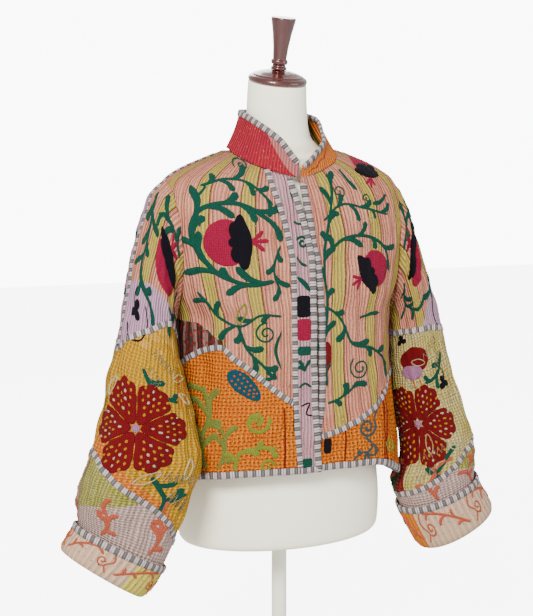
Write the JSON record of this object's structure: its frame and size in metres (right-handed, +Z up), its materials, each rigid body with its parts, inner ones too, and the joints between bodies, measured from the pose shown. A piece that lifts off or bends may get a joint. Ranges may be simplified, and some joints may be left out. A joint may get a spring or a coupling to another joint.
{
  "type": "cropped patchwork jacket on a dress form",
  "caption": "Cropped patchwork jacket with a stand collar, a front band and turned-up cuffs, standing on a limbless dress form with a wooden cap and a pole foot.",
  "frame": {"origin": "centre of the stand's foot, on the floor", "axes": "+Z up, the jacket's front faces -Y, the wearer's right side is -X"},
  "size_m": [0.7683, 0.3239, 1.1283],
  "materials": {
    "patch_salmon": "matt quilted cotton patchwork",
    "patch_orange": "matt quilted cotton patchwork",
    "patch_pale": "matt quilted cotton patchwork",
    "patch_mustard": "matt quilted cotton patchwork",
    "patch_cream": "matt quilted cotton patchwork",
    "patch_olive": "matt quilted cotton patchwork",
    "cuff": "matt quilted cotton patchwork",
    "collar_red": "matt quilted cotton patchwork",
    "collar_orange": "matt quilted cotton patchwork",
    "collar_dark": "matt quilted cotton patchwork",
    "gusset": "matt quilted cotton patchwork",
    "tape": "striped cotton binding, matt",
    "form_cloth": "smooth cream cloth cover",
    "wood": "gloss varnish, dark red-brown",
    "stand": "satin cream paint"
  },
  "bodies": {
    "root": {"stand_foot": "stand", "stand_pole": "stand", "stand_socket": "stand", "form_torso": "form_cloth", "neck_cap": "wood", "finial": "wood", "band": "patch_pale", "collar_right": "collar_red", "collar_left": "collar_orange", "collar_back": "collar_dark", "gusset_right": "gusset", "gusset_left": "gusset", "front_right_upper": "patch_salmon", "back_right_upper": "patch_salmon", "front_right_lower": "patch_orange", "back_right_lower": "patch_orange", "sleeve_right_upper": "patch_pale", "sleeve_right_middle": "patch_mustard", "sleeve_right_lower": "patch_olive", "cuff_right": "cuff", "front_left_upper": "patch_salmon", "back_left_upper": "patch_salmon", "front_left_lower": "patch_orange", "back_left_lower": "patch_orange", "sleeve_left_upper": "patch_salmon", "sleeve_left_middle": "patch_cream", "sleeve_left_lower": "patch_olive", "cuff_left": "cuff", "band_edge_binding": "tape", "band_inner_tape": "tape", "left_edge_binding": "tape", "hem_binding_right": "tape", "hem_binding_left": "tape", "front_right_tape": "tape", "back_right_tape": "tape", "front_left_tape": "tape", "back_left_tape": "tape", "collar_binding": "tape", "shoulder_right_tape": "tape", "shoulder_left_tape": "tape", "sleeve_right_upper_tape": "tape", "sleeve_right_lower_tape": "tape", "cuff_right_binding": "tape", "sleeve_left_upper_tape": "tape", "sleeve_left_lower_tape": "tape", "cuff_left_binding": "tape"}
  },
  "joints": []
}
